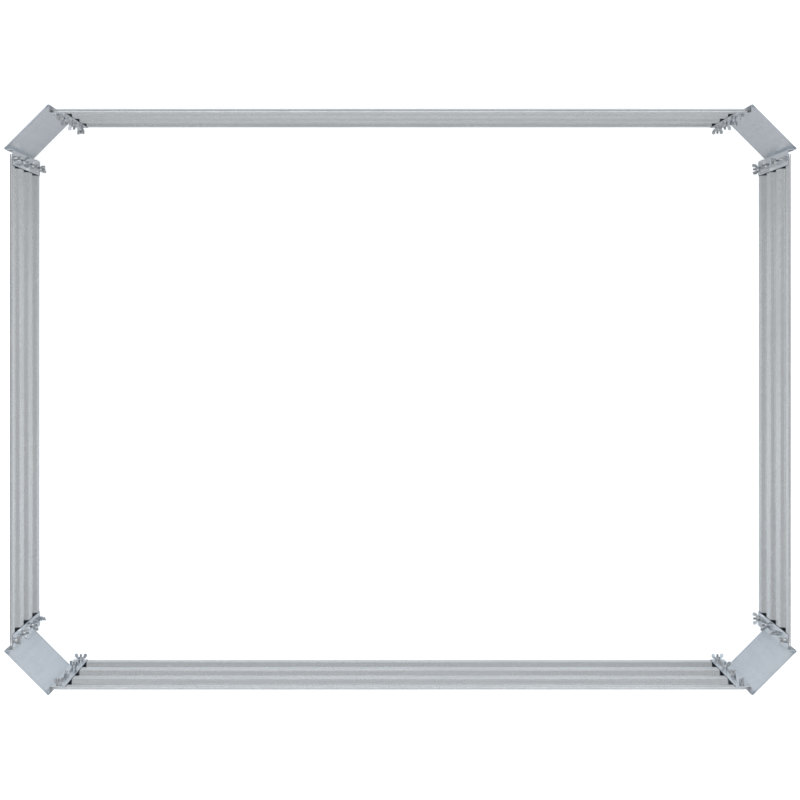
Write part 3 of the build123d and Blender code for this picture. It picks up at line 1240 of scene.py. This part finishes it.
@dataclass
class Fasteners:
    """The screws, washers and wing nuts at the ends of the walls.

    Args:
        sizes: the frame's sizes.
        makers: the geometry trees.
        screw_finish: material of the screws.
        washer_finish: material of the washers.
        nut_finish: material of the wing nuts.
        screw_length: under the head, in millimetres, as are the other lengths.
        recess_floor: how small the cross is at its floor.
        recess_flare: how many times wider it is at its mouth.
        screw_turn: radians by which each screw is turned on from the one before it.
        wing_turn: degrees by which each nut is turned on from the one before it.
    """

    sizes: BedSizes
    makers: Makers
    screw_finish: Material
    washer_finish: Material
    nut_finish: Material
    screw_radius: float = 2.0
    screw_length: float = 12.0
    thread_pitch: float = 0.7
    head_radius: float = 4.0
    head_height: float = 3.0
    head_round: float = 1.5
    recess_depth: float = 1.5
    recess_floor: float = 0.62
    recess_flare: float = 1 / 0.55
    washer_radius: float = 4.5
    washer_bore: float = 2.25
    nut_bore: float = 2.05
    hub_radius: float = 4.0
    hub_top_radius: float = 3.6
    hub_height: float = 4.6
    wing_span: float = 20.0
    wing_height: float = 10.5
    wing_thickness: float = 1.9
    screw_turn: float = 1.9
    wing_turn: float = 137.5
    cast_grid: float = 0.27

    def screw(self) -> Mesh:
        """A pan head screw along +Z, with a cross recess and a cut thread."""
        r, h = self.head_radius, self.head_height
        rounding = self.head_round
        crown = arc((r - rounding, rounding - h), rounding, -78, 0, 7)
        head = lathed("screw_head", [(0, -h), (r * 0.35, -h), *crown, (r, -0.2), (r - 0.15, 0), (0, 0)], 40)
        arm = ((2.2, -0.34), (2.2, 0.34), (0.45, 0.45))
        turns = [Matrix.Rotation(math.radians(90 * turn), 2) for turn in range(4)]
        cross = [turn @ Vector(corner) * self.recess_floor for turn in turns for corner in arm]
        floor = [(*corner, self.recess_depth - h) for corner in cross]
        mouth = [(*(corner * self.recess_flare), -0.5 - h) for corner in cross]
        head = cut_by(head, drawn_out("screw_recess", floor, mouth))
        holder = new_object("shank_work", mesh_of("shank", [(0, 0, 0)]))
        add_tree(
            holder, self.makers.thread, Radius=self.screw_radius * MM, Length=self.screw_length * MM,
            Pitch=self.thread_pitch * MM, Thread_Depth=0.4 * MM, Plain_Length=0.6 * MM, Point_Length=0.6 * MM,
        )
        return joined("screw", [head, settled(holder, "shank")])

    def washer(self) -> Mesh:
        """A plain stamped washer on z = 0, one edge rounder than the other."""
        inner, outer, top = self.washer_bore, self.washer_radius, self.sizes.washer_thickness
        outline = [*arc((outer - 0.12, 0.12), 0.12, -90, 0, 2), *arc((outer - 0.28, top - 0.28), 0.28, 0, 90, 4)]
        outline += [*arc((inner + 0.15, top - 0.15), 0.15, 90, 180, 3), *arc((inner + 0.08, 0.08), 0.08, 180, 270, 2)]
        return lathed("washer", outline, 44)

    def wing_nut(self) -> Mesh:
        """A cast wing nut on z = 0 with its wings along X and a countersunk bore."""
        foot, neck, high = self.hub_radius, self.hub_top_radius, self.hub_height
        hub = [(0, 0), (foot - 0.35, 0), (foot, 0.35), (neck, high - 0.35), (neck - 0.35, high), (0, high)]
        parts = [lathed("hub", hub, 40)]
        tip, top = self.wing_span / 2, self.wing_height
        outline = [(1.2, 0.3), (foot + 0.5, 0.9), (7.4, 2.5)]
        outline += [*arc((tip - 2.2, 6.4), 2.2, -48, 0, 4), *arc((tip - 2.3, top - 2.3), 2.3, 0, 100, 6)]
        outline += [*arc((tip - 3.6, top - 1.5), 1.5, 120, 190, 3), (4.4, 6.6), (3.2, high - 0.2), (1.2, high - 0.4)]
        halves = [self.wing_thickness / 2 * (1.18 - 0.28 * max(0.0, x - 3) / (tip - 3)) for x, _ in outline]
        for side in (1, -1):
            rear, front = (
                [(side * x, way * half, z) for (x, z), half in zip(outline, halves)] for way in (1, -1)
            )
            parts.append(drawn_out("wing", rear, front))
        holder = new_object("nut_work", joined("wing_nut", parts))
        cast = holder.modifiers.new("cast", "REMESH")
        cast.mode, cast.voxel_size, cast.use_smooth_shade = "VOXEL", self.cast_grid * MM, True
        soft = holder.modifiers.new("soft_edges", "SMOOTH")
        soft.factor, soft.iterations = 0.5, 5
        body = settled(holder, "wing_nut")
        bore = self.nut_bore
        drill = [(0, -1), (bore + 1.4, -1), (bore, 0.4), (bore, high - 0.45), (bore + 1.45, high + 1), (0, high + 1)]
        return cut_by(body, lathed("drill", drill, 36))

    def placed(self, name: str, item: Mesh, places: Sequence[Place], material: Material) -> Mesh:
        """Stand a fastener at each of some places.

        Args:
            name: the new mesh's name.
            item: the fastener, along +Z.
            places: place, axis and spin of each.
            material: their finish.

        Returns:
            All the copies in one mesh.
        """
        source = new_object(name + "_source", item)
        holder = new_object(name + "_work", stands(name, places))
        add_tree(holder, self.makers.column, Fastener=source, Material=material)
        mesh = settled(holder, name)
        bpy.data.objects.remove(source, do_unlink=True)
        return smoothed(cleaned(mesh), 38)

    def build(self) -> None:
        """Make every column of fasteners, with one piece for each CAD node."""
        s = self.sizes
        screw, washer, nut = self.screw(), self.washer(), self.wing_nut()
        count = 0
        for wall in Wall:
            inward = wall.turn.to_3x3() @ Vector((0, 1, 0))
            for side, end in zip((-1, 1), wall.ends):
                label, x = f"{wall.label}_{end}", side * s.screw_reach(wall)
                seats = [
                    (s.on_wall(wall, x, -s.sheet, z), inward, self.screw_turn * (count + row))
                    for row, z in enumerate(s.rows)
                ]
                mesh = self.placed("screw_column_" + label, screw, seats, self.screw_finish)
                finished("screw_column_" + label, mesh, "frame", "screws_" + label)
                seats = [(s.on_wall(wall, x, s.sheet, z), inward, 0.0) for z in s.rows]
                mesh = self.placed("washer_column_" + label, washer, seats, self.washer_finish)
                finished("washer_column_" + label, mesh, "frame", "washers_" + label)
                for row, z in enumerate(s.rows, start=1):
                    node = f"wingnut_{label}_{row}"
                    seat = s.on_wall(wall, x, s.sheet + s.washer_thickness, z)
                    finished("cast_" + node, self.seated_nut(node, nut, wall, seat, count), node, node)
                    count += 1

    def seated_nut(self, node: str, nut: Mesh, wall: Wall, seat: Vector, count: int) -> Mesh:
        """Turn a copy of the nut as the CAD part has it, and stand it on its washer."""
        mesh = nut.copy()
        mesh.name = node
        lain = Matrix.Rotation(math.radians(-90), 4, "X")
        spun = Matrix.Rotation(math.radians(count * self.wing_turn), 4, "Z")
        mesh.transform(Matrix.Translation(seat) @ wall.turn @ lain @ spun)
        mesh.materials.clear()
        mesh.materials.append(self.nut_finish)
        return smoothed(mesh, 38)


# ---------------- the studio


@dataclass
class Studio:
    """The plain pale floor, the soft light and the camera.

    Args:
        floor_size: width of the square floor, in metres.
        floor_drop: how far it lies below the frame's feet.
        floor_colours: the two that its grain mixes.
        floor_back: its colour behind the frame, darker as painted shade, so less light comes back onto the frame there.
        floor_tint: colour of its glow.
        floor_light: strength of its glow on the frame.
        floor_glow: how much more of it the camera sees.
        sky_levels: brightness of the room at steps from the horizon up.
        softbox_size: width and length of each soft light.
        aim: what the soft lights point at.
        camera_place: where the camera is.
        lens: its focal length, in millimetres.
        shift: its lens shift.
    """

    floor_size: float = 16.0
    floor_drop: float = 0.0004
    floor_colours: tuple[Colour, Colour] = ((0.94, 0.97, 1.0, 1.0), (0.97, 0.99, 1.0, 1.0))
    floor_back: Colour = (0.74, 0.74, 0.74, 1.0)
    floor_tint: Colour = (0.97, 0.99, 1.0, 1.0)
    floor_light: float = 0.195
    floor_glow: float = 0.6
    sky_levels: tuple[Pair, ...] = ((0.0, 0.95), (0.22, 0.86), (0.42, 0.52), (0.66, 0.44), (0.90, 0.54), (1.0, 0.58))
    softbox_size: Pair = (5.0, 2.6)
    aim: tuple[float, float, float] = (0.0, 0.0, 0.1)
    camera_place: tuple[float, float, float] = (-0.0263, 0.1268, 4.110)
    lens: float = 113.3
    shift: Pair = (0.02125, -0.105)

    def floor(self) -> None:
        """Lay the floor."""
        half = self.floor_size / 2
        corners = [(x, y, -self.floor_drop) for x, y in ((-half, -half), (half, -half), (half, half), (-half, half))]
        mesh = mesh_of("studio_floor", corners, (), [(0, 1, 2, 3)])
        material = bpy.data.materials.new("pale_floor")
        material.use_nodes = True
        w = Wiring(material.node_tree)
        shader = material.node_tree.nodes["Principled BSDF"]
        place = w.node("ShaderNodeTexCoord").outputs["Object"]
        grain = w.node("ShaderNodeTexNoise", {"Vector": place, "Scale": 3.0, "Detail": 5.0})
        # Painted shade: the floor grows darker behind the frame, so it throws less light onto the back of the frame.
        back = w.remap(w.part(place, "Y"), -0.55, 0.6)
        w.feed(shader.inputs["Base Color"], w.mix(back, w.mix(grain.outputs[0], *self.floor_colours), self.floor_back))
        w.feed(shader.inputs["Roughness"], 0.85)
        w.feed(shader.inputs["Emission Color"], self.floor_tint)
        seen = w.node("ShaderNodeLightPath").outputs["Is Camera Ray"]
        glow = w.math("MULTIPLY_ADD", seen, self.floor_glow, self.floor_light)
        w.feed(shader.inputs["Emission Strength"], glow)
        mesh.materials.append(material)
        new_object("studio_floor", mesh)

    def sky(self) -> None:
        """Surround the scene with an even room: pale low down, dimmer half way up."""
        world = bpy.data.worlds.new("studio_room")
        bpy.context.scene.world = world
        world.use_nodes = True
        world.node_tree.nodes.clear()
        w = Wiring(world.node_tree)
        up = w.part(w.node("ShaderNodeTexCoord").outputs["Generated"], "Z")
        ramp = w.node("ShaderNodeValToRGB", {"Fac": up})
        while len(ramp.color_ramp.elements) < len(self.sky_levels):
            ramp.color_ramp.elements.new(0.5)
        for element, (place, level) in zip(ramp.color_ramp.elements, self.sky_levels):
            element.position = place
            element.color = (level * 0.98, level, level * 1.03, 1.0)
        background = w.node("ShaderNodeBackground", {"Color": ramp.outputs[0], "Strength": 1.0})
        w.node("ShaderNodeOutputWorld", {"Surface": background})

    def softbox(self, name: str, place: Sequence[float], power: float, colour: Sequence[float]) -> None:
        """Hang one soft light.

        Args:
            name: its name.
            place: where it hangs, in metres.
            power: its power in watts.
            colour: its colour.
        """
        data = bpy.data.lights.new(name, "AREA")
        data.shape, data.size, data.size_y = "RECTANGLE", *self.softbox_size
        data.energy, data.color = power, colour
        light = bpy.data.objects.new(name, data)
        light.location = place
        light.rotation_euler = (Vector(self.aim) - Vector(place)).to_track_quat("-Z", "Y").to_euler()
        bpy.context.scene.collection.objects.link(light)

    def camera(self) -> None:
        """Set the camera straight above the frame."""
        data = bpy.data.cameras.new("camera")
        data.lens, data.sensor_width = self.lens, 36.0
        data.shift_x, data.shift_y = self.shift
        data.dof.use_dof = False
        data.clip_start, data.clip_end = 0.1, 100.0
        camera = bpy.data.objects.new("camera", data)
        camera.location = self.camera_place
        bpy.context.scene.collection.objects.link(camera)
        bpy.context.scene.camera = camera

    def build(self) -> None:
        """Set up the floor, the light and the camera."""
        bpy.context.scene.view_settings.view_transform = "Standard"
        self.floor()
        self.sky()
        self.softbox("back_softbox", (0.3, 2.7, 5.0), 48.0, (0.90, 0.96, 1.0))
        self.softbox("front_softbox", (-0.3, -2.7, 5.0), 34.0, (1.0, 0.99, 0.97))
        self.camera()


def main() -> None:
    """Build the frame's pieces in order, then the studio."""
    logging.basicConfig(level=logging.INFO, format="%(name)s: %(message)s")
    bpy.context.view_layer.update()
    effects, makers, sizes = Effects(), Makers(), BedSizes()
    # Painted shade on the sheets: in the laps behind the flanges, outside the rims and in the corner steps.
    painted_shades = LapStains(sizes)
    laps = {Roll.ALONG_X: painted_shades.on_wall(Wall.FRONT, 4.5), Roll.ALONG_Y: painted_shades.on_wall(Wall.LEFT, 7.0)}
    ribbed = {
        roll: GalvanisedSheet(
            "galvanised_ribbed_" + roll.name.lower(), (0.645, 0.655, 0.658, 1), (0.845, 0.855, 0.858, 1), 0.2, 0.32,
            roll=roll, laps=on_wall,
        ).build(effects)
        for roll, on_wall in laps.items()
    }
    plate = GalvanisedSheet(
        "galvanised_corner_sheet", (0.65, 0.70, 0.75, 1), (0.78, 0.82, 0.87, 1), 0.16, 0.24,
        roll=Roll.ALONG_Z, crystal=0.006, contrast=0.5, buckle=0.0006, laps=painted_shades.on_steps(),
    ).build(effects)
    finishes = (
        ZincPlate("zinc_plated_screw", (0.60, 0.61, 0.62, 1), (0.82, 0.83, 0.84, 1), 0.14, 0.30),
        ZincPlate("zinc_plated_washer", (0.46, 0.47, 0.48, 1), (0.70, 0.71, 0.72, 1), 0.2, 0.4),
        ZincPlate(
            "zinc_plated_wing_nut", (0.44, 0.45, 0.46, 1), (0.86, 0.87, 0.88, 1), 0.10, 0.26,
            grain=0.0009, relief=0.00004,
        ),
    )
    for wall in Wall:
        RibbedWall(sizes, wall).build(makers, ribbed[Roll["ALONG_" + wall.axes[0]]])
    for back in (False, True):
        for right in (False, True):
            CornerPiece(sizes, back, right).build(makers, plate)
    Fasteners(sizes, makers, *(finish.build(effects) for finish in finishes)).build()
    Studio().build()


if __name__ == "__main__":
    main()
